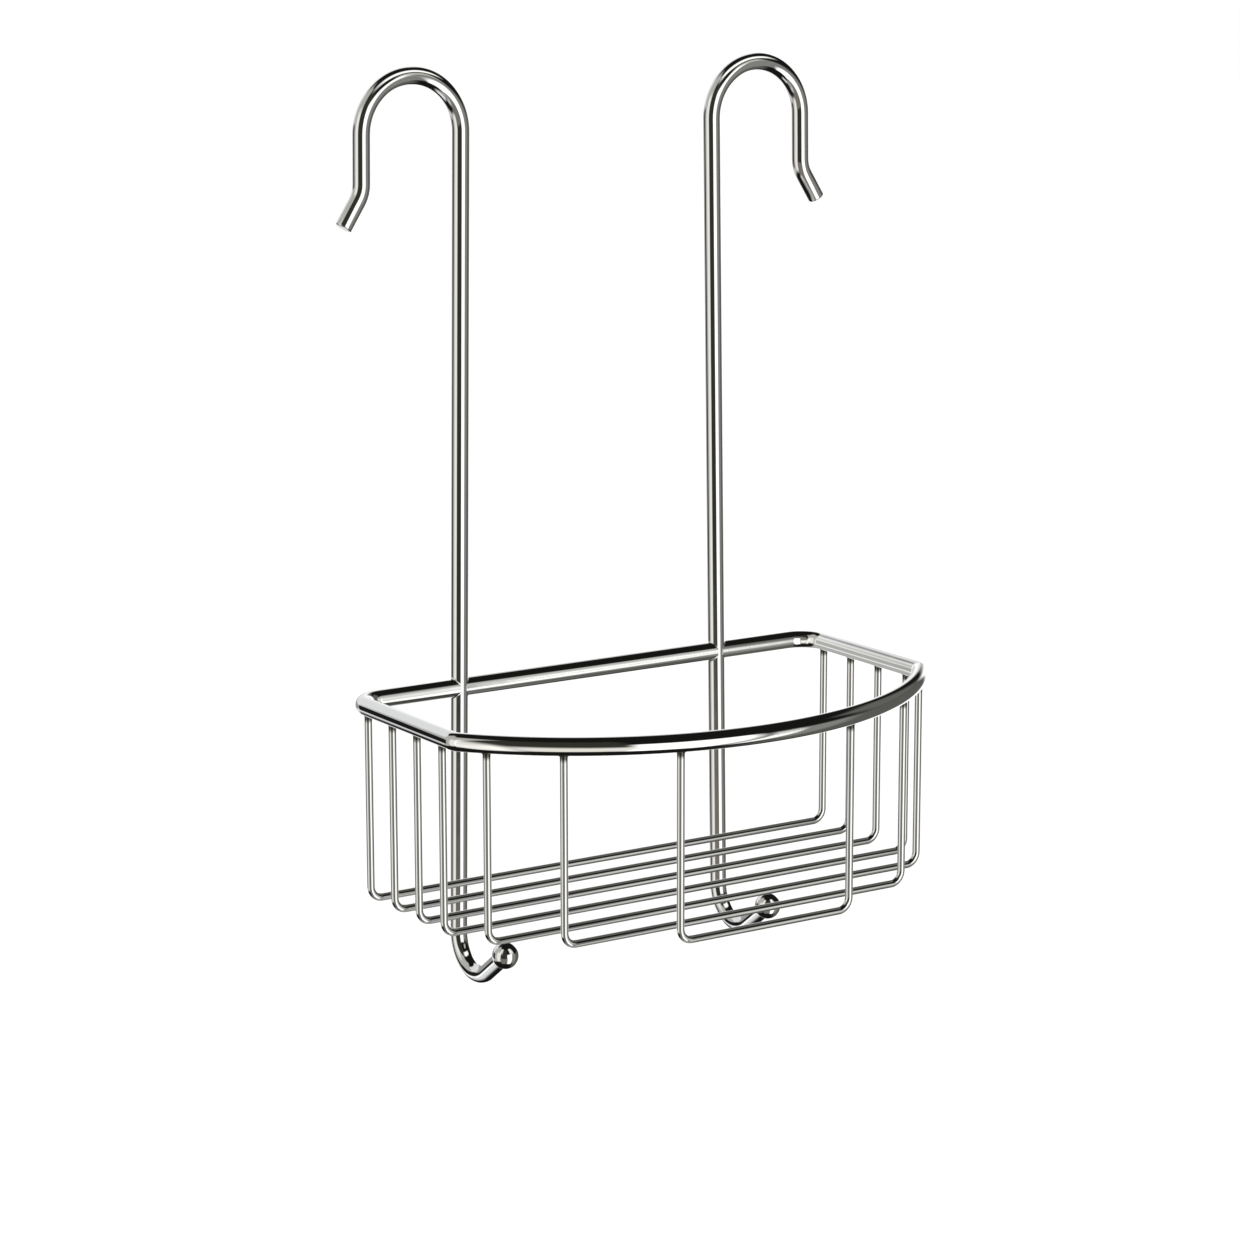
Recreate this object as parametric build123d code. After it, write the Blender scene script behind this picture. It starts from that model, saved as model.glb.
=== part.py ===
from build123d import *
import os
from math import asin, cos, degrees, radians, sin, sqrt, tan

# A wire basket that hangs by two hooks over the wall unions of a bar mixer.
# Origin: midway between the centres of the two hook bends. +X to the right, +Z up, the front faces -Y.
# Every size is in millimetres and every angle in degrees. Rods and wires are sized on their centre lines.

# Stock
ROD_D = 6.35            # hanger rods
RIM_D = 6.7             # rim bow and rear bar
WIRE_D = 2.8            # basket wires
BALL_D = 10.0           # ball at the end of each lower hook

# Upper hooks, which hang over the unions
HOOK_CENTRES = 150.0    # standard spacing of the two unions
HOOK_RADIUS = 20.4      # bend of the hook
TAIL_LENGTH = 17.3      # straight tail below the bend
FLARE_RADIUS = 12.0     # bend between the tail and its flared end
FLARE_ANGLE = 32.0      # outward lean of the flared end
FLARE_LENGTH = 10.7     # straight part of the flared end
TIP_BREAK = 0.5         # chamfer on the cut tip
ROD_SPLAY = 0.85        # lean of each rod, wider apart at the bottom

# Lower hooks
ROD_DROP = 298.5        # hook centre down to the start of the lower bend
LOWER_RADIUS = 13.2     # lower bend, which turns forward and up
LOWER_ANGLE = 127.0
LOWER_RISE = 15.8       # end of the lower bend to the ball's centre
SPIGOT_D = 4.0          # turned end of the rod, inside the ball
SPIGOT_LENGTH = 4.5
SPIGOT_CLEARANCE = 0.1  # ball bore over the spigot, on the diameter
BORE_RELIEF = 0.4       # ball bore deeper than the spigot

# Rim
RIM_DROP = 205.0        # hook centres down to the rim
RIM_HALF_WIDTH = 101.9  # middle of the basket to a side rail
RIM_REACH = 121.5       # rear rail to the furthest point of the bowed front
BOW_RADIUS = 129.7      # curve of the bowed front
REAR_CORNER = 10.0      # bend of the two rear corners
FRONT_CORNER = 5.0      # tighter bend where a side rail meets the bow
COPE_START = 1.2        # square-cut end of a rim bar to the rod's centre line, before it is coped

# Basket wires
WIRE_COUNT = 7
FIRST_WIRE = 10.0       # rear rail to the first wire
LAST_WIRE = 5.3         # last wire to the furthest point of the bowed front
BASKET_DEPTH = 72.0     # rim down to the floor
WIRE_BEND = 4.6         # bend between a leg and the floor

X, Y, Z = Vector(1, 0, 0), Vector(0, 1, 0), Vector(0, 0, 1)


def straight(length):
    """A bending step: feed the wire straight on."""
    return ("straight", length, 0.0, None)


def bend(radius, angle, axis):
    """A bending step: turn the wire about an axis by the right-hand rule."""
    return ("bend", radius, angle, axis)


def bent_path(start, heading, steps):
    """Follow bending steps from a start point. Return the edges, the end point and the end heading."""
    edges = []
    point = start
    for kind, size, angle, axis in steps:
        if kind == "straight":
            end = point + heading * size
            edges.append(Edge.make_line(point, end))
        else:
            inward = axis.cross(heading)
            centre = point + inward * size
            middle, end = (
                centre + (heading * sin(turn) - inward * cos(turn)) * size
                for turn in (radians(angle / 2), radians(angle))
            )
            edges.append(Edge.make_three_point_arc(point, middle, end))
            heading = heading * cos(radians(angle)) + inward * sin(radians(angle))
        point = end
    return edges, point, heading


def round_bar(edges, diameter):
    """Sweep a round section along joined edges."""
    path = Wire(edges)
    section = Plane(origin=path @ 0, z_dir=path % 0) * Circle(diameter / 2)
    return sweep(section, path=path)


def named(shape, node):
    """Give a shape its node name and write it out."""
    shape.label = node
    export_step(shape, f"parts/{node}.step")
    return shape


def mirrored(shape):
    """The left-hand twin of a right-hand piece."""
    return mirror(shape, about=Plane.YZ)


# Ball seat: the rod's shoulder rests on a flat of the rod's own diameter, cut on the ball
SEAT_OFFSET = sqrt((BALL_D / 2) ** 2 - (ROD_D / 2) ** 2)


def right_rod_frame():
    """Place of the right rod: hook centre at the union, leaning outward at the bottom."""
    return Pos(HOOK_CENTRES / 2, 0, 0) * Rot(0, -ROD_SPLAY, 0)


def rod_x(drop):
    """How far the right rod's centre line is from the middle, at a drop below the hook centres."""
    lean = radians(ROD_SPLAY)
    return HOOK_CENTRES / 2 - HOOK_RADIUS * cos(lean) + (drop - HOOK_RADIUS * sin(lean)) * tan(lean)


def rod_lower_end():
    """Edges of the rod from its hook down to the ball's seat, with the seat's point and heading."""
    return bent_path(
        X * -HOOK_RADIUS,
        -Z,
        [
            straight(ROD_DROP),
            bend(LOWER_RADIUS, LOWER_ANGLE, -X),
            straight(LOWER_RISE - SEAT_OFFSET),
        ],
    )


def hanger_rod():
    """Right hanger rod: flared tail, hook, long straight, lower hook and spigot, in one bent length."""
    upper, tip, tip_heading = bent_path(
        X * -HOOK_RADIUS,
        Z,
        [
            bend(HOOK_RADIUS, 180, Y),
            straight(TAIL_LENGTH),
            bend(FLARE_RADIUS, FLARE_ANGLE, -Y),
            straight(FLARE_LENGTH),
        ],
    )
    lower, seat, seat_heading = rod_lower_end()
    rod = round_bar(upper[::-1] + lower, ROD_D)
    tip_edge = rod.edges().filter_by(GeomType.CIRCLE).sort_by_distance(tip)[0]
    rod = chamfer(tip_edge, TIP_BREAK)
    spigot = Cylinder(SPIGOT_D / 2, SPIGOT_LENGTH, align=(Align.CENTER, Align.CENTER, Align.MIN))
    rod += Plane(origin=seat, z_dir=seat_heading) * spigot
    return right_rod_frame() * rod


def hook_ball():
    """Right ball: a sphere with a flat for the rod's shoulder and a blind bore for its spigot."""
    _, seat, seat_heading = rod_lower_end()
    room = Box(BALL_D, BALL_D, BALL_D, align=(Align.CENTER, Align.CENTER, Align.MIN))
    bore = Cylinder(
        (SPIGOT_D + SPIGOT_CLEARANCE) / 2,
        SPIGOT_LENGTH + BORE_RELIEF,
        align=(Align.CENTER, Align.CENTER, Align.MIN),
    )
    ball = Pos(0, 0, SEAT_OFFSET) * Sphere(BALL_D / 2) & room
    ball -= bore
    return right_rod_frame() * (Plane(origin=seat, z_dir=seat_heading) * ball)


# Rim geometry: the bow's centre, and the half angle it spans between its two corner bends
BOW_CENTRE_Y = BOW_RADIUS - RIM_REACH
BOW_HALF_ANGLE = degrees(asin((RIM_HALF_WIDTH - FRONT_CORNER) / (BOW_RADIUS - FRONT_CORNER)))
FRONT_CORNER_Y = BOW_CENTRE_Y - (BOW_RADIUS - FRONT_CORNER) * cos(radians(BOW_HALF_ANGLE))


def rim_bow(rods):
    """Rim from the right hanger rod round the front to the left one, its ends coped to the rods."""
    start = rod_x(RIM_DROP) + COPE_START
    rear = straight(RIM_HALF_WIDTH - REAR_CORNER - start)
    side = straight(-FRONT_CORNER_Y - REAR_CORNER)
    front_corner = bend(FRONT_CORNER, 90 - BOW_HALF_ANGLE, -Z)
    rear_corner = bend(REAR_CORNER, 90, -Z)
    bow = bend(BOW_RADIUS, 2 * BOW_HALF_ANGLE, -Z)
    edges, _, _ = bent_path(
        Vector(start, 0, -RIM_DROP),
        X,
        [rear, rear_corner, side, front_corner, bow, front_corner, side, rear_corner, rear],
    )
    return round_bar(edges, RIM_D) - rods


def rear_bar(rods):
    """Straight length of the rim between the two hanger rods, coped at both ends."""
    half_length = rod_x(RIM_DROP) - COPE_START
    edges, _, _ = bent_path(Vector(-half_length, 0, -RIM_DROP), X, [straight(2 * half_length)])
    return round_bar(edges, RIM_D) - rods


def rim_x(y):
    """Half width of the rim's centre line at a depth behind or on the bowed front."""
    if y >= FRONT_CORNER_Y:
        return RIM_HALF_WIDTH
    return min(RIM_HALF_WIDTH, sqrt(BOW_RADIUS**2 - (y - BOW_CENTRE_Y) ** 2))


def basket_wire(index, rim):
    """One U-shaped wire, its leg ends saddled to the underside of the rim."""
    pitch = (RIM_REACH - FIRST_WIRE - LAST_WIRE) / (WIRE_COUNT - 1)
    y = -FIRST_WIRE - index * pitch
    half_width = rim_x(y)
    leg = straight(BASKET_DEPTH - WIRE_BEND)
    corner = bend(WIRE_BEND, 90, Y)
    floor = straight(2 * (half_width - WIRE_BEND))
    edges, _, _ = bent_path(Vector(half_width, y, -RIM_DROP), -Z, [leg, corner, floor, corner, leg])
    return round_bar(edges, WIRE_D) - rim


os.makedirs("parts", exist_ok=True)

right_rod = hanger_rod()
left_rod = mirrored(right_rod)
right_ball = hook_ball()
left_ball = mirrored(right_ball)
rim = rim_bow([right_rod, left_rod])

named(right_rod, "hanger_rod_right")
named(left_rod, "hanger_rod_left")
named(right_ball, "hook_ball_right")
named(left_ball, "hook_ball_left")
named(rim, "rim_bow")
named(rear_bar([right_rod, left_rod]), "rear_bar")
for index in range(WIRE_COUNT):
    named(basket_wire(index, rim), f"basket_wire_{index + 1}")
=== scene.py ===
from math import asin, ceil, cos, degrees, pi, radians, sin, sqrt, tan

import bmesh
import bpy
from mathutils import Matrix, Vector


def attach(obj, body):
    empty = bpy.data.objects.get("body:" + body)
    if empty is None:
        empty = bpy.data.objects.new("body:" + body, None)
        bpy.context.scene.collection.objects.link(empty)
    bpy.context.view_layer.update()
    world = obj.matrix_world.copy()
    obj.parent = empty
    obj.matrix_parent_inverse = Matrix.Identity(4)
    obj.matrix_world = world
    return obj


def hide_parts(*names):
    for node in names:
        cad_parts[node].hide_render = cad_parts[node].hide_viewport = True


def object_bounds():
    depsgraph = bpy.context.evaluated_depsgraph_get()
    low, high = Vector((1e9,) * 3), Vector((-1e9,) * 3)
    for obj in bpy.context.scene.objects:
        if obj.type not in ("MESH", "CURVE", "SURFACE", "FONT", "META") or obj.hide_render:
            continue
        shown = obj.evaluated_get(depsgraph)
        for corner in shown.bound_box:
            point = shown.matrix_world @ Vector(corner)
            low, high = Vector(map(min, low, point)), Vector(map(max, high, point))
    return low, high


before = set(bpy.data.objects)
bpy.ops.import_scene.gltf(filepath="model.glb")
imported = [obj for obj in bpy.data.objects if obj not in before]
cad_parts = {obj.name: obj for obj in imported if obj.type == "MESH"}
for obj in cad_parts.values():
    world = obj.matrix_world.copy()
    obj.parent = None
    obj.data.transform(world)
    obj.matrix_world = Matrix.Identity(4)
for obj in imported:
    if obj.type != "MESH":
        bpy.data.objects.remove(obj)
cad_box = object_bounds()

# A caddy of chromed rod and wire that hangs by two hooks, on a white stage.
# Pieces are worked out in millimetres and degrees, in the part's frame. The stage is in metres.

# Driving dimensions, as in the part's source
ROD_D = 6.35            # hanger rods
RIM_D = 6.7             # rim bow and rear bar
WIRE_D = 2.8            # basket wires
BALL_D = 10.0           # ball at the end of each lower hook
HOOK_CENTRES = 150.0    # between the two upper hooks
HOOK_RADIUS = 20.4      # bend of the hook
TAIL_LENGTH = 17.3      # straight tail below the bend
FLARE_RADIUS = 12.0     # bend between the tail and its flared end
FLARE_ANGLE = 32.0      # outward lean of the flared end
FLARE_LENGTH = 10.7     # straight part of the flared end
ROD_SPLAY = 0.85        # lean of each rod, wider apart at the bottom
ROD_DROP = 298.5        # hook centre down to the start of the lower bend
LOWER_RADIUS = 13.2     # lower bend, which turns forward and up
LOWER_ANGLE = 127.0
LOWER_RISE = 15.8       # end of the lower bend to the ball's centre
RIM_DROP = 205.0        # hook centres down to the rim
RIM_HALF_WIDTH = 101.9  # middle of the basket to a side rail
RIM_REACH = 121.5       # rear rail to the furthest point of the bowed front
BOW_RADIUS = 129.7      # curve of the bowed front
REAR_CORNER = 10.0      # bend of the two rear corners
FRONT_CORNER = 5.0      # tighter bend where a side rail meets the bow
COPE_START = 1.2        # square-cut end of a rim bar to the rod's centre line
WIRE_COUNT = 7
FIRST_WIRE = 10.0       # rear rail to the first wire
LAST_WIRE = 5.3         # last wire to the furthest point of the bowed front
BASKET_DEPTH = 72.0     # rim down to the floor
WIRE_BEND = 4.6         # bend between a leg and the floor

# Finish of the brazed and cut ends
TIP_ROUND = 0.5         # round on the cut tip of each tail
TIP_FLAT = 0.9          # ring that keeps the tip's face flat, as a share of the face's radius
ROD_BRAZE = 0.8         # braze fillet where the rim meets a hanger rod
WIRE_BRAZE = 0.7        # braze fillet where a wire meets the rim
BALL_BRAZE = 0.5        # braze fillet round a ball's neck
SINK = 0.3              # how far a brazed end reaches below the skin that it meets
SHOULDER_SINK = 1.0     # how far a rod's end reaches into its ball

# Mesh fineness
BAR_SIDES = 48
WIRE_SIDES = 32
BEND_STEP = 4.0         # degrees between the rings of a bend
BOW_STEP = 2.0          # the same along the rim
TIP_STEPS = 4
FILLET_STEPS = 6
BALL_STEPS = 24

# Chrome: noise scales are per metre
TINT_COOL = (0.84, 0.845, 0.85, 1.0)
TINT_WARM = (0.90, 0.895, 0.88, 1.0)
DRIFT_SCALE = 45.0      # slow drift between the two tints
HAZE_SCALE = 220.0      # haze in the roughness
RIPPLE_SCALE = 110.0    # ripple left by polishing
RIPPLE_STRENGTH = 0.25
RIPPLE_HEIGHT = 0.0001
# Painted shade at the top of each wire leg, just under the rim: dark colour standing in for the rim's shadow
# and its dark reflection there
PAINTED_JOINT_SHADE = (0.12, 0.115, 0.10, 1.0)
JOINT_SHADE_REACH = 1.7       # from the rim down to the middle of the painted shade, in millimetres
JOINT_SHADE_SOFTNESS = 0.002  # height over which the painted shade fades in, in metres

# Camera, fitted to the photograph
CAMERA_PLACE = Vector((-0.7295, -1.1486, 0.1029))
CAMERA_YAW = 32.89      # to the right of looking along +Y
CAMERA_PITCH = -12.0
CAMERA_ROLL = -0.09
CAMERA_LENS = 106.8
SENSOR_WIDTH = 36.0

# Stage
FLOOR_GAP = 0.05        # below the part's lowest point
FLOOR_SIZE = 40.0
FLOOR_COLOUR = (0.9, 0.9, 0.9, 1.0)
FLOOR_ROUGHNESS = 0.8
FLOOR_GLOW = 0.9
DOME_RADIUS = 6.0
DOME_FINENESS = 4
WHITE = (1.0, 1.0, 1.0, 1.0)

# Studio surroundings that the chrome mirrors, by azimuth clockwise from +Y and by elevation, in degrees:
# azimuth from and to, elevation from and to, softness of the edges, colour. Later panels cover earlier ones.
PANELS = [
    (252, 330, -34, 62, 8, (0.48, 0.47, 0.44)),      # left wall, light grey
    (254, 290, -34, 30, 18, (0.92, 0.91, 0.86)),     # its lit edge
    (330, 398, -28, 38, 8, (0.80, 0.81, 0.81)),      # back wall, white
    (318, 394, -17, 2, 5, (0.34, 0.34, 0.33)),       # horizon behind
    (312, 337, -21, 6, 4, (0.012, 0.012, 0.012)),    # its dark left end
    (398, 422, -32, 12, 8, (1.30, 1.30, 1.30)),      # lamp behind, to the right
    (422, 476, -62, 8, 12, (0.11, 0.11, 0.10)),      # right wall, dark
    (474, 512, -50, 10, 14, (0.24, 0.24, 0.23)),     # its lighter front end
    (513, 556, -58, 20, 9, (1.35, 1.35, 1.32)),      # front softbox
    (552, 616, -58, -12, 6, (0.19, 0.18, 0.16)),     # table in the shade, before the camera
    (556, 612, -12, 62, 6, (0.034, 0.034, 0.026)),   # dark room behind the camera
]
PANEL_LEAD = 60.0       # azimuth is counted from this far before a panel
SHADE = (0.009, 0.009, 0.008)

# Cards that light some pieces only. Other pieces see straight through them. The two stub cards stand close
# before the rear ends of the rim's bow and shine backward, so its front and sides don't mirror them.
OVERHEAD = [(-0.5, -0.55, 0.6), (-0.5, -0.08, 0.6), (1.0, -0.08, 0.6), (1.0, -0.55, 0.6)]
FRONT_HIGH = [(0.15, -1.0, 0.15), (0.15, -1.0, 0.9), (1.0, -1.0, 0.9), (1.0, -1.0, 0.15)]
BELOW = [(-0.34, -0.08, -0.46), (-0.34, 0.34, -0.46), (-0.055, 0.34, -0.46), (-0.055, -0.08, -0.46)]
BELOW_RIGHT = [(-0.07, -0.06, -0.36), (-0.07, 0.10, -0.36), (0.055, 0.10, -0.36), (0.055, -0.06, -0.36)]
BEHIND = [(-0.10, 0.08, -0.42), (-0.10, 0.08, -0.11), (0.26, 0.08, -0.11), (0.26, 0.08, -0.42)]
BAR_FRONT = [(0.395, -0.82, -0.45), (0.395, -0.82, 0.52), (0.605, -0.68, 0.52), (0.605, -0.68, -0.45)]
STUB_LEFT = [(-0.12, -0.03, -0.235), (-0.12, -0.03, -0.17), (0.01, -0.03, -0.17), (0.01, -0.03, -0.235)]
STUB_RIGHT = [(0.03, -0.03, -0.235), (0.03, -0.03, -0.17), (0.17, -0.03, -0.17), (0.17, -0.03, -0.235)]
RIGHT_HIGH = [(0.9, -0.52, -0.18), (0.9, -0.52, 0.62), (0.9, 0.52, 0.62), (0.9, 0.52, -0.18)]
RIGHT_TOP = [(1.0, -1.0, 0.3), (1.0, -1.0, 2.0), (1.0, 1.0, 2.0), (1.0, 1.0, 0.3)]
TABLE = [(0.02, -0.62, -0.9), (0.02, -0.62, -0.21), (-0.56, -0.28, -0.10), (-0.56, -0.28, -0.9)]
SIDE = [(0.395, -0.82, -1.6), (0.395, -0.82, 0.12), (0.605, -0.68, 0.12), (0.605, -0.68, -1.6)]
FARTHER_SIDE = [(x + 0.01, y - 0.015, z) for x, y, z in SIDE]
BOW_LEFT = [(-0.45, -0.36, -1.2), (-0.45, -0.36, -0.10), (-0.54, -0.13, 0.35), (-0.54, -0.13, -1.2)]
GROUND = [(-0.75, -0.80, -1.3), (-0.75, 0.70, -1.3), (0.75, 0.70, -1.3), (0.75, -0.80, -1.3)]
GROUND_LEFT = [(-1.25, -1.0, -1.3), (-1.25, 0.15, -1.3), (-0.12, 0.15, -1.3), (-0.12, -1.0, -1.3)]
BALL_RIGHT = [(0.55, -0.46, -0.32), (0.55, -0.46, 1.25), (0.0, -0.73, 1.25), (0.0, -0.73, -0.32)]
BALL_LEFT = [(-0.70, -0.03, -0.20), (-0.70, -0.03, 1.25), (-0.58, -0.42, 1.25), (-0.58, -0.42, -0.20)]
CARD_FADE = 0.3         # share of a card's width over which its light fades in

MM = 0.001
X, Y, Z = Vector((1, 0, 0)), Vector((0, 1, 0)), Vector((0, 0, 1))


def straight(length):
    """A bending step: feed the bar straight on."""
    return ("straight", length, 0.0, None)


def bend(radius, angle, axis):
    """A bending step: turn the bar about an axis by the right-hand rule."""
    return ("bend", radius, angle, axis)


def bent_route(start, heading, steps, bend_step=BEND_STEP):
    """Follow bending steps from a start point. Return stations, each a point with a heading."""
    stations = [(start, heading)]
    for kind, size, angle, axis in steps:
        point, heading = stations[-1]
        if kind == "straight":
            stations.append((point + heading * size, heading))
            continue
        inward = axis.cross(heading)
        centre = point + inward * size
        count = ceil(angle / bend_step)
        for i in range(1, count + 1):
            turn = radians(angle) * i / count
            stations.append((
                centre + (heading * sin(turn) - inward * cos(turn)) * size,
                heading * cos(turn) + inward * sin(turn),
            ))
    return stations


def spokes(side, heading, count):
    """Unit vectors round a heading, anticlockwise seen from its tip."""
    other = heading.cross(side)
    return [side * cos(2 * pi * i / count) + other * sin(2 * pi * i / count) for i in range(count)]


def bar_spokes(stations, side, count):
    """Spokes for each station, carried along the bar without twist."""
    result = []
    previous = stations[0][1]
    for _, heading in stations:
        side = previous.rotation_difference(heading) @ side
        side = (side - heading * side.dot(heading)).normalized()
        result.append(spokes(side, heading, count))
        previous = heading
    return result


def bar_rings(stations, spoke_sets, radius):
    """Round rings, one to a station."""
    return [[point + e * radius for e in es] for (point, _), es in zip(stations, spoke_sets)]


def brazed_end(joint, outward, es, radius, main_axis, main_radius, fillet):
    """Rings that flare the end of a bar into the round bar that it meets at right angles.

    The joint is on the main bar's centre line, and outward points from there along the brazed bar. The flare
    is the surface left by a ball of the fillet's radius that rolls along both bars. Rings run towards the
    joint. Where the brazed bar is the wider one, its cut end stands off the main bar's centre line and is
    closed inward."""
    across = main_axis.cross(outward)
    rings = [[] for _ in range(FILLET_STEPS + 2)]
    for e in es:
        offset = (radius + fillet) * e.dot(across)
        height = sqrt(max((main_radius + fillet) ** 2 - offset ** 2, COPE_START ** 2))
        reach = sqrt(offset ** 2 + height ** 2)
        centre = joint + e * (radius + fillet) + outward * height
        away = (across * offset + outward * height) / reach
        for i in range(FILLET_STEPS + 1):
            lean = e.slerp(away, i / FILLET_STEPS)
            rings[i].append(centre - lean * fillet)
        rings[-1].append(centre - away * (reach - main_radius + SINK))
    return rings


def piece_from_rings(name, rings):
    """A closed smooth mesh through rings of equal count, each end closed to its middle."""
    count = len(rings[0])
    points = [p for ring in rings for p in ring]
    faces = []
    for i in range(len(rings) - 1):
        for j in range(count):
            k = (j + 1) % count
            faces.append((i * count + j, i * count + k, (i + 1) * count + k, (i + 1) * count + j))
    for first, flip in ((0, True), ((len(rings) - 1) * count, False)):
        middle = len(points)
        points.append(sum(points[first:first + count], Vector()) / count)
        for j in range(count):
            a, b = first + j, first + (j + 1) % count
            faces.append((middle, b, a) if flip else (middle, a, b))
    mesh = bpy.data.meshes.new(name)
    mesh.from_pydata([p * MM for p in points], [], faces)
    mesh.shade_smooth()
    piece = bpy.data.objects.new(name, mesh)
    bpy.context.scene.collection.objects.link(piece)
    return piece


def mirrored(rings):
    """The left-hand twin of right-hand rings."""
    return [[Vector((-p.x, p.y, p.z)) for p in reversed(ring)] for ring in rings]


def moved(rings, matrix):
    """Rings placed by a matrix."""
    return [[matrix @ p for p in ring] for ring in rings]


# Ball seat: the rod's shoulder rests on a flat of the rod's own diameter, cut on the ball
SEAT_OFFSET = sqrt((BALL_D / 2) ** 2 - (ROD_D / 2) ** 2)


def right_rod_frame():
    """Place of the right rod: hook centre at the union, leaning outward at the bottom."""
    return Matrix.Translation(X * (HOOK_CENTRES / 2)) @ Matrix.Rotation(radians(-ROD_SPLAY), 4, "Y")


def rod_x(drop):
    """How far the right rod's centre line is from the middle, at a drop below the hook centres."""
    lean = radians(ROD_SPLAY)
    return HOOK_CENTRES / 2 - HOOK_RADIUS * cos(lean) + (drop - HOOK_RADIUS * sin(lean)) * tan(lean)


def rod_lower_route():
    """Stations of the right rod from its hook down to the ball's seat, in the rod's own frame."""
    return bent_route(
        X * -HOOK_RADIUS,
        -Z,
        [
            straight(ROD_DROP),
            bend(LOWER_RADIUS, LOWER_ANGLE, -X),
            straight(LOWER_RISE - SEAT_OFFSET),
        ],
    )


def hanger_rod_rings():
    """Right hanger rod from the rounded tip of its tail to its shoulder on the ball."""
    upper = bent_route(
        X * -HOOK_RADIUS,
        Z,
        [
            bend(HOOK_RADIUS, 180, Y),
            straight(TAIL_LENGTH),
            bend(FLARE_RADIUS, FLARE_ANGLE, -Y),
            straight(FLARE_LENGTH),
        ],
    )
    stations = [(p, -h) for p, h in reversed(upper)] + rod_lower_route()[1:]
    spoke_sets = bar_spokes(stations, Y, BAR_SIDES)
    radius = ROD_D / 2
    tip, heading = stations[0]
    end = [[tip + e * (radius - TIP_ROUND) * TIP_FLAT for e in spoke_sets[0]]]
    for i in range(TIP_STEPS, -1, -1):
        turn = pi / 2 * i / TIP_STEPS
        at = tip + heading * TIP_ROUND * (1 - sin(turn))
        end.append([at + e * (radius - TIP_ROUND * (1 - cos(turn))) for e in spoke_sets[0]])
    seat, seat_heading = stations[-1]
    shoulder = [seat + seat_heading * SHOULDER_SINK + e * radius for e in spoke_sets[-1]]
    rings = end + bar_rings(stations, spoke_sets, radius)[1:] + [shoulder]
    return moved(rings, right_rod_frame())


def hook_ball_rings():
    """Right ball, turned about the rod's end, with a braze fillet round its neck.

    The profile's points are a radius and a distance along the rod's heading from the seat."""
    seat, heading = rod_lower_route()[-1]
    es = spokes(X, heading, BAR_SIDES)
    ball, rod = BALL_D / 2, ROD_D / 2
    reach = sqrt((ball + BALL_BRAZE) ** 2 - (rod + BALL_BRAZE) ** 2)
    fillet_at = Vector((rod + BALL_BRAZE, SEAT_OFFSET - reach))
    to_ball = (Vector((0, SEAT_OFFSET)) - fillet_at).normalized()
    to_rod = Vector((-1, 0))
    profile = [fillet_at + Vector((-BALL_BRAZE - SINK, -SINK))]
    for i in range(FILLET_STEPS + 1):
        profile.append(fillet_at + to_rod.slerp(to_ball, i / FILLET_STEPS) * BALL_BRAZE)
    start = asin(-to_ball.y)
    for i in range(1, BALL_STEPS):
        turn = start + (pi / 2 - start) * i / BALL_STEPS
        profile.append(Vector((ball * cos(turn), SEAT_OFFSET + ball * sin(turn))))
    rings = [[seat + heading * s + e * r for e in es] for r, s in profile]
    return moved(rings, right_rod_frame())


# Rim geometry: the bow's centre, and the half angle it spans between its two corner bends
BOW_CENTRE_Y = BOW_RADIUS - RIM_REACH
BOW_HALF_ANGLE = degrees(asin((RIM_HALF_WIDTH - FRONT_CORNER) / (BOW_RADIUS - FRONT_CORNER)))
FRONT_CORNER_Y = BOW_CENTRE_Y - (BOW_RADIUS - FRONT_CORNER) * cos(radians(BOW_HALF_ANGLE))


def brazed_bar(stations, spoke_sets, radius, main_axes, main_radius, fillet):
    """Rings of a bar whose two ends, on other bars' centre lines, are brazed to those bars."""
    (start, start_heading), (end, end_heading) = stations[0], stations[-1]
    first = brazed_end(start, start_heading, spoke_sets[0], radius, main_axes[0], main_radius, fillet)
    last = brazed_end(end, -end_heading, spoke_sets[-1], radius, main_axes[1], main_radius, fillet)
    middle = bar_rings(stations, spoke_sets, radius)[1:-1]
    return first[::-1] + middle + last


def rim_bar(stations):
    """Rings of a bar of the rim, brazed to the hanger rods at both ends."""
    spoke_sets = bar_spokes(stations, Z, BAR_SIDES)
    return brazed_bar(stations, spoke_sets, RIM_D / 2, (Z, Z), ROD_D / 2, ROD_BRAZE)


def rim_bow_rings():
    """Rim from the right hanger rod round the front to the left one."""
    rod_at_rim = rod_x(RIM_DROP)
    rear = straight(RIM_HALF_WIDTH - REAR_CORNER - rod_at_rim)
    side = straight(-FRONT_CORNER_Y - REAR_CORNER)
    front_corner = bend(FRONT_CORNER, 90 - BOW_HALF_ANGLE, -Z)
    rear_corner = bend(REAR_CORNER, 90, -Z)
    bow = bend(BOW_RADIUS, 2 * BOW_HALF_ANGLE, -Z)
    stations = bent_route(
        Vector((rod_at_rim, 0, -RIM_DROP)),
        X,
        [rear, rear_corner, side, front_corner, bow, front_corner, side, rear_corner, rear],
        BOW_STEP,
    )
    return rim_bar(stations)


def rear_bar_rings():
    """Straight length of the rim between the two hanger rods."""
    half = straight(rod_x(RIM_DROP))
    return rim_bar(bent_route(Vector((-rod_x(RIM_DROP), 0, -RIM_DROP)), X, [half, half]))


def rim_at(y):
    """Half width of the rim's centre line at a depth, and the line's direction there on the right side."""
    if y >= FRONT_CORNER_Y:
        return RIM_HALF_WIDTH, Y
    x = sqrt(BOW_RADIUS ** 2 - (y - BOW_CENTRE_Y) ** 2)
    return x, Vector((-(y - BOW_CENTRE_Y), x, 0)) / BOW_RADIUS


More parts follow.
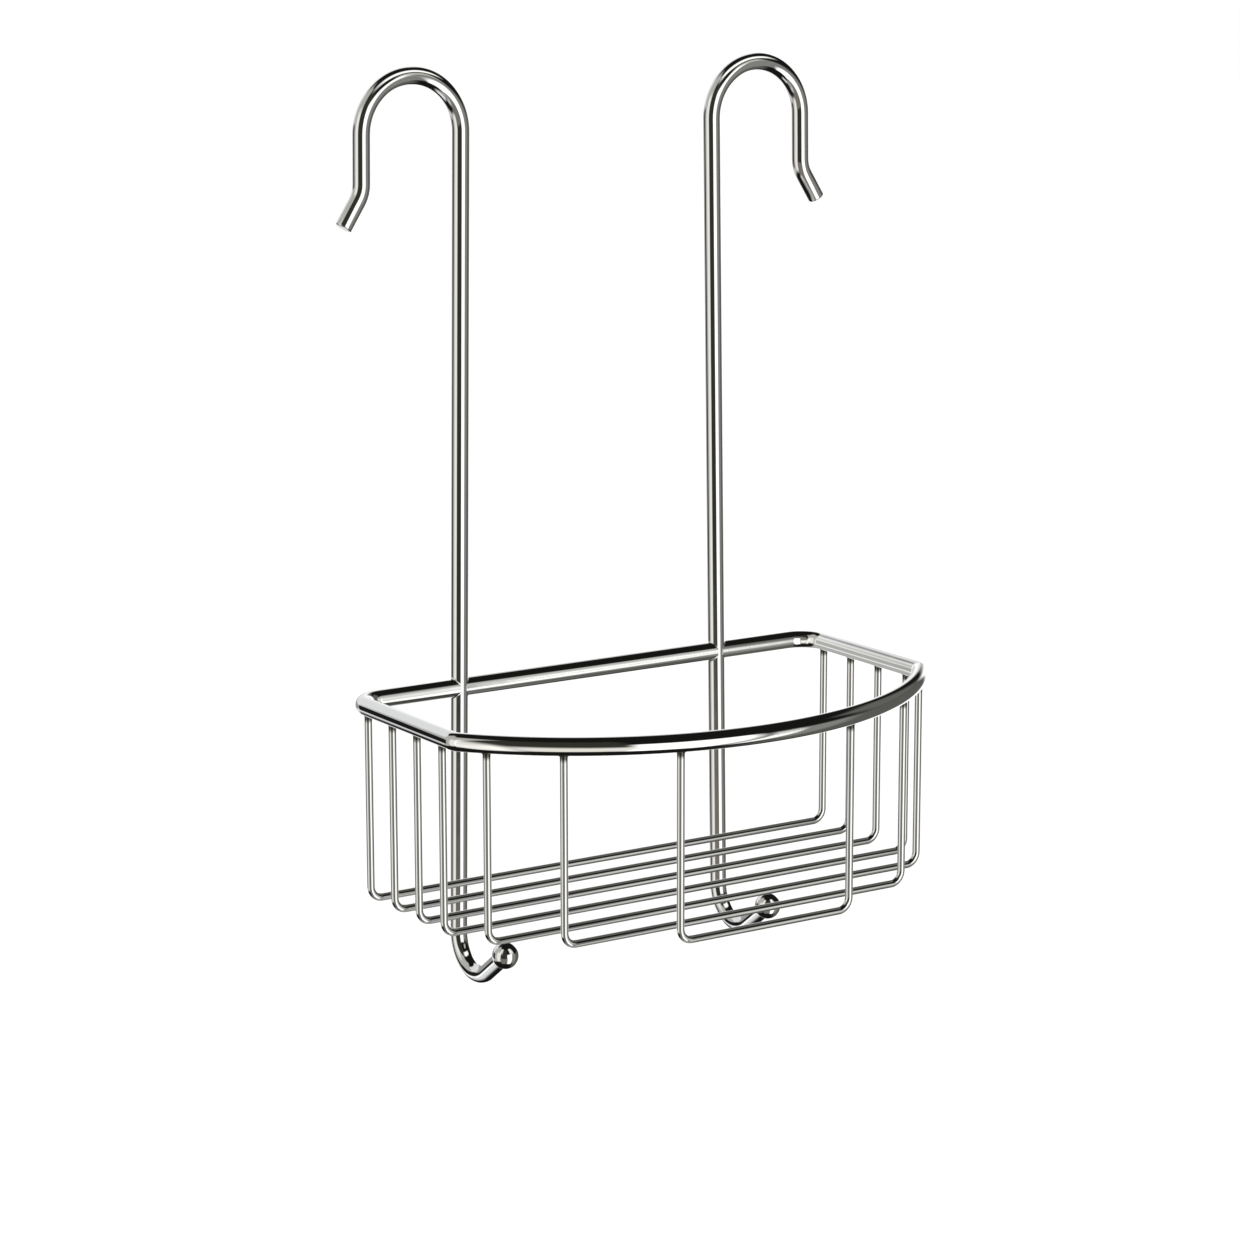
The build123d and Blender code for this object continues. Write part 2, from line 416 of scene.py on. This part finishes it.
def basket_wire_rings(index):
    """One U-shaped wire, its legs brazed to the underside of the rim."""
    pitch = (RIM_REACH - FIRST_WIRE - LAST_WIRE) / (WIRE_COUNT - 1)
    y = -FIRST_WIRE - index * pitch
    half_width, along = rim_at(y)
    leg = straight(BASKET_DEPTH - WIRE_BEND)
    corner = bend(WIRE_BEND, 90, Y)
    floor = straight(2 * (half_width - WIRE_BEND))
    stations = bent_route(Vector((half_width, y, -RIM_DROP)), -Z, [leg, corner, floor, corner, leg])
    twin = Vector((-along.x, along.y, 0))
    spoke_sets = bar_spokes(stations, Y, WIRE_SIDES)
    return brazed_bar(stations, spoke_sets, WIRE_D / 2, (along, twin), RIM_D / 2, WIRE_BRAZE)


class NodeTree:
    """Short-hand for building a node tree."""

    def __init__(self, tree):
        self.tree = tree
        tree.nodes.clear()

    def add(self, kind, inputs=None, **settings):
        """Add a node. An input is a constant or another node's socket."""
        node = self.tree.nodes.new(kind)
        for name, value in settings.items():
            setattr(node, name, value)
        for key, value in (inputs or {}).items():
            if isinstance(value, bpy.types.NodeSocket):
                self.tree.links.new(value, node.inputs[key])
            else:
                node.inputs[key].default_value = value
        return node

    def math(self, operation, *values):
        """Result of a Math node."""
        return self.add("ShaderNodeMath", dict(enumerate(values)), operation=operation).outputs[0]

    def step(self, value, edge, softness):
        """0 below an edge and 1 above it, smooth between."""
        inputs = {"Value": value, "From Min": edge - softness / 2, "From Max": edge + softness / 2}
        return self.add("ShaderNodeMapRange", inputs, interpolation_type="SMOOTHSTEP").outputs["Result"]

    def mix(self, factor, a, b):
        """Mix of two colours. A colour Mix node keeps them in inputs 6 and 7, and its result in output 2."""
        return self.add("ShaderNodeMix", {0: factor, 6: a, 7: b}, data_type="RGBA").outputs[2]


def make_world():
    """Surroundings made of the panels, one over the other, on a dark ground."""
    world = bpy.data.worlds.new("studio")
    bpy.context.scene.world = world
    world.use_nodes = True
    n = NodeTree(world.node_tree)
    direction = n.add("ShaderNodeTexCoord").outputs["Generated"]
    x, y, z = n.add("ShaderNodeSeparateXYZ", {"Vector": direction}).outputs
    azimuth = n.math("DEGREES", n.math("ARCTAN2", x, y))
    elevation = n.math("DEGREES", n.math("ARCSINE", z))
    colour = (*SHADE, 1.0)
    for left, right, low, high, soft, light in PANELS:
        turn = n.math("FLOORED_MODULO", n.math("SUBTRACT", azimuth, left - PANEL_LEAD), 360.0)
        end = PANEL_LEAD + right - left
        across = n.math("SUBTRACT", n.step(turn, PANEL_LEAD, soft), n.step(turn, end, soft))
        upright = n.math("SUBTRACT", n.step(elevation, low, soft), n.step(elevation, high, soft))
        colour = n.mix(n.math("MULTIPLY", across, upright), colour, (*light, 1.0))
    background = n.add("ShaderNodeBackground", {"Color": colour})
    n.add("ShaderNodeOutputWorld", {"Surface": background.outputs[0]})


def make_camera():
    """The photograph's camera."""
    data = bpy.data.cameras.new("camera")
    data.sensor_width = SENSOR_WIDTH
    data.lens = CAMERA_LENS
    camera = bpy.data.objects.new("camera", data)
    bpy.context.scene.collection.objects.link(camera)
    camera.matrix_world = (
        Matrix.Translation(CAMERA_PLACE)
        @ Matrix.Rotation(radians(-CAMERA_YAW), 4, "Z")
        @ Matrix.Rotation(radians(90 + CAMERA_PITCH), 4, "X")
        @ Matrix.Rotation(radians(CAMERA_ROLL), 4, "Z")
    )
    bpy.context.scene.camera = camera


def make_stage(name, mesh):
    """Put a mesh on the stage, out of the chrome's sight, and return the nodes of its material."""
    thing = bpy.data.objects.new(name, mesh)
    bpy.context.scene.collection.objects.link(thing)
    material = bpy.data.materials.new(name + "_white")
    material.use_nodes = True
    mesh.materials.append(material)
    thing.visible_glossy = thing.visible_shadow = False
    return NodeTree(material.node_tree)


def make_floor():
    """White floor, seen from above only."""
    half = FLOOR_SIZE / 2
    z = cad_box[0].z - FLOOR_GAP
    corners = [(-half, -half, z), (half, -half, z), (half, half, z), (-half, half, z)]
    mesh = bpy.data.meshes.new("floor")
    mesh.from_pydata(corners, [], [(0, 1, 2, 3)])
    n = make_stage("floor", mesh)
    white = n.add(
        "ShaderNodeBsdfPrincipled",
        {
            "Base Color": FLOOR_COLOUR,
            "Roughness": FLOOR_ROUGHNESS,
            "Emission Color": WHITE,
            "Emission Strength": FLOOR_GLOW,
        },
    )
    below = n.add("ShaderNodeNewGeometry").outputs["Backfacing"]
    clear = n.add("ShaderNodeBsdfTransparent")
    shader = n.add("ShaderNodeMixShader", {0: below, 1: white.outputs[0], 2: clear.outputs[0]})
    n.add("ShaderNodeOutputMaterial", {"Surface": shader.outputs[0]})


def make_backdrop():
    """White dome round the whole stage. It is seen by the camera alone, and lights nothing."""
    shape = bmesh.new()
    bmesh.ops.create_icosphere(shape, subdivisions=DOME_FINENESS, radius=DOME_RADIUS)
    mesh = bpy.data.meshes.new("backdrop")
    shape.to_mesh(mesh)
    shape.free()
    n = make_stage("backdrop", mesh)
    bpy.data.objects["backdrop"].visible_diffuse = False
    glow = n.add("ShaderNodeEmission", {"Color": WHITE, "Strength": 1.0})
    n.add("ShaderNodeOutputMaterial", {"Surface": glow.outputs[0]})


def make_card(name, corners, light, receivers, one_sided=False):
    """A soft-edged card of light that only its receivers mirror. The first corner is at 0, 0 of its map.

    A one-sided card is lit on the side from which its corners run anticlockwise."""
    mesh = bpy.data.meshes.new(name)
    mesh.from_pydata(corners, [], [(0, 1, 2, 3)])
    card_map = mesh.uv_layers.new(name="card_map")
    for corner, place in zip(card_map.uv, [(0, 0), (0, 1), (1, 1), (1, 0)]):
        corner.vector = place
    card = bpy.data.objects.new(name, mesh)
    bpy.context.scene.collection.objects.link(card)
    material = bpy.data.materials.new(name + "_light")
    material.use_nodes = True
    n = NodeTree(material.node_tree)
    place = n.add("ShaderNodeTexCoord").outputs["UV"]
    u, v, _ = n.add("ShaderNodeSeparateXYZ", {"Vector": place}).outputs
    fades = []
    for along in (u, v):
        to_edge = n.math("MINIMUM", along, n.math("SUBTRACT", 1.0, along))
        fades.append(n.step(to_edge, CARD_FADE / 2, CARD_FADE))
    strength = n.math("MULTIPLY", *fades)
    if one_sided:
        rear = n.add("ShaderNodeNewGeometry").outputs["Backfacing"]
        strength = n.math("MULTIPLY", strength, n.math("SUBTRACT", 1.0, rear))
    glow = n.add("ShaderNodeEmission", {"Color": (*light, 1.0), "Strength": strength})
    clear = n.add("ShaderNodeBsdfTransparent")
    both = n.add("ShaderNodeAddShader", {0: glow.outputs[0], 1: clear.outputs[0]})
    n.add("ShaderNodeOutputMaterial", {"Surface": both.outputs[0]})
    mesh.materials.append(material)
    card.visible_camera = card.visible_diffuse = card.visible_shadow = False
    lit = bpy.data.collections.new(name + "_receivers")
    for piece in receivers:
        lit.objects.link(piece)
    card.light_linking.receiver_collection = lit


def chrome(name, haze_low, haze_high, painted_shade_above=None):
    """Bright chrome plate: a faint tint and haze that drift over the surface, and a slow ripple.

    Above the height given, the colour darkens to painted shade, standing in for the rim's shadow and dark
    reflection at the wires' tops."""
    material = bpy.data.materials.new(name)
    material.use_nodes = True
    n = NodeTree(material.node_tree)
    place = n.add("ShaderNodeTexCoord").outputs["Object"]

    def noise(scale, detail):
        return n.add("ShaderNodeTexNoise", {"Vector": place, "Scale": scale, "Detail": detail}).outputs[0]

    tint = n.mix(noise(DRIFT_SCALE, 3.0), TINT_COOL, TINT_WARM)
    haze = {"Value": noise(HAZE_SCALE, 4.0), "To Min": haze_low, "To Max": haze_high}
    rough = n.add("ShaderNodeMapRange", haze).outputs["Result"]
    ripple = {
        "Height": noise(RIPPLE_SCALE, 1.0),
        "Strength": RIPPLE_STRENGTH,
        "Distance": RIPPLE_HEIGHT,
    }
    if painted_shade_above is not None:
        # Painted shade: the colour turns dark above the height given
        height = n.add("ShaderNodeSeparateXYZ", {"Vector": place}).outputs[2]
        tint = n.mix(n.step(height, painted_shade_above, JOINT_SHADE_SOFTNESS), tint, PAINTED_JOINT_SHADE)
    bump = n.add("ShaderNodeBump", ripple)
    shader = n.add(
        "ShaderNodeBsdfPrincipled",
        {"Base Color": tint, "Metallic": 1.0, "Roughness": rough, "Normal": bump.outputs[0]},
    )
    n.add("ShaderNodeOutputMaterial", {"Surface": shader.outputs[0]})
    return material


def put(node, rings, material):
    """Make the piece that stands in for a CAD node."""
    piece = piece_from_rings(node + "_plated", rings)
    piece.data.materials.append(material)
    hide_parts(node)
    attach(piece, "root")
    # The photograph's chrome shows clean stripes, without other pieces in them
    piece.visible_glossy = False
    return piece


make_camera()
make_world()
make_floor()
make_backdrop()
bpy.context.scene.view_settings.view_transform = "Standard"

hanger = chrome("hanger_chrome", 0.02, 0.06)
rim = chrome("rim_chrome", 0.02, 0.06)
# The wires' tops, just under the rim, get painted shade
wire = chrome("wire_chrome", 0.03, 0.08, -(RIM_DROP + RIM_D / 2 + JOINT_SHADE_REACH) * MM)
ball = chrome("ball_chrome", 0.02, 0.05)
rod_rings, ball_rings = hanger_rod_rings(), hook_ball_rings()
right_rod = put("hanger_rod_right", rod_rings, hanger)
left_rod = put("hanger_rod_left", mirrored(rod_rings), hanger)
rods = [right_rod, left_rod]
balls = [
    put("hook_ball_right", ball_rings, ball),
    put("hook_ball_left", mirrored(ball_rings), ball),
]
bow = put("rim_bow", rim_bow_rings(), rim)
bar = put("rear_bar", rear_bar_rings(), rim)
wires = [
    put(f"basket_wire_{i + 1}", basket_wire_rings(i), wire) for i in range(WIRE_COUNT)
]

make_card("overhead_card", OVERHEAD, (1.25, 1.25, 1.22), rods)
make_card("front_card", FRONT_HIGH, (0.52, 0.52, 0.47), rods)
make_card("below_card", BELOW, (0.78, 0.79, 0.80), [left_rod])
make_card("below_right_card", BELOW_RIGHT, (0.78, 0.79, 0.80), [right_rod])
make_card("rail_card", BEHIND, (0.46, 0.46, 0.45), [bow])
make_card("right_card", RIGHT_HIGH, (0.12, 0.12, 0.11), [bow, bar, *wires])
make_card("wire_top_card", RIGHT_TOP, (0.12, 0.12, 0.11), wires)
make_card("table_card", TABLE, (0.70, 0.69, 0.64), [bow])
make_card("bow_left_card", BOW_LEFT, (0.85, 0.84, 0.79), [bow])
make_card("rim_side_card", SIDE, (0.98, 0.98, 0.96), [bow, bar])
make_card("bar_card", BAR_FRONT, (0.55, 0.55, 0.53), [bar])
make_card("stub_left_card", STUB_LEFT, (0.55, 0.55, 0.53), [bow], one_sided=True)
make_card("stub_right_card", STUB_RIGHT, (0.20, 0.20, 0.19), [bow], one_sided=True)
make_card("wire_side_card", FARTHER_SIDE, (0.45, 0.45, 0.43), wires)
make_card("wire_ground_card", GROUND, (0.40, 0.40, 0.39), [bar, *wires])
make_card("rod_ground_card", GROUND_LEFT, (0.40, 0.40, 0.39), rods)
make_card("ball_right_card", BALL_RIGHT, (0.95, 0.95, 0.93), balls)
make_card("ball_left_card", BALL_LEFT, (0.60, 0.59, 0.56), balls)
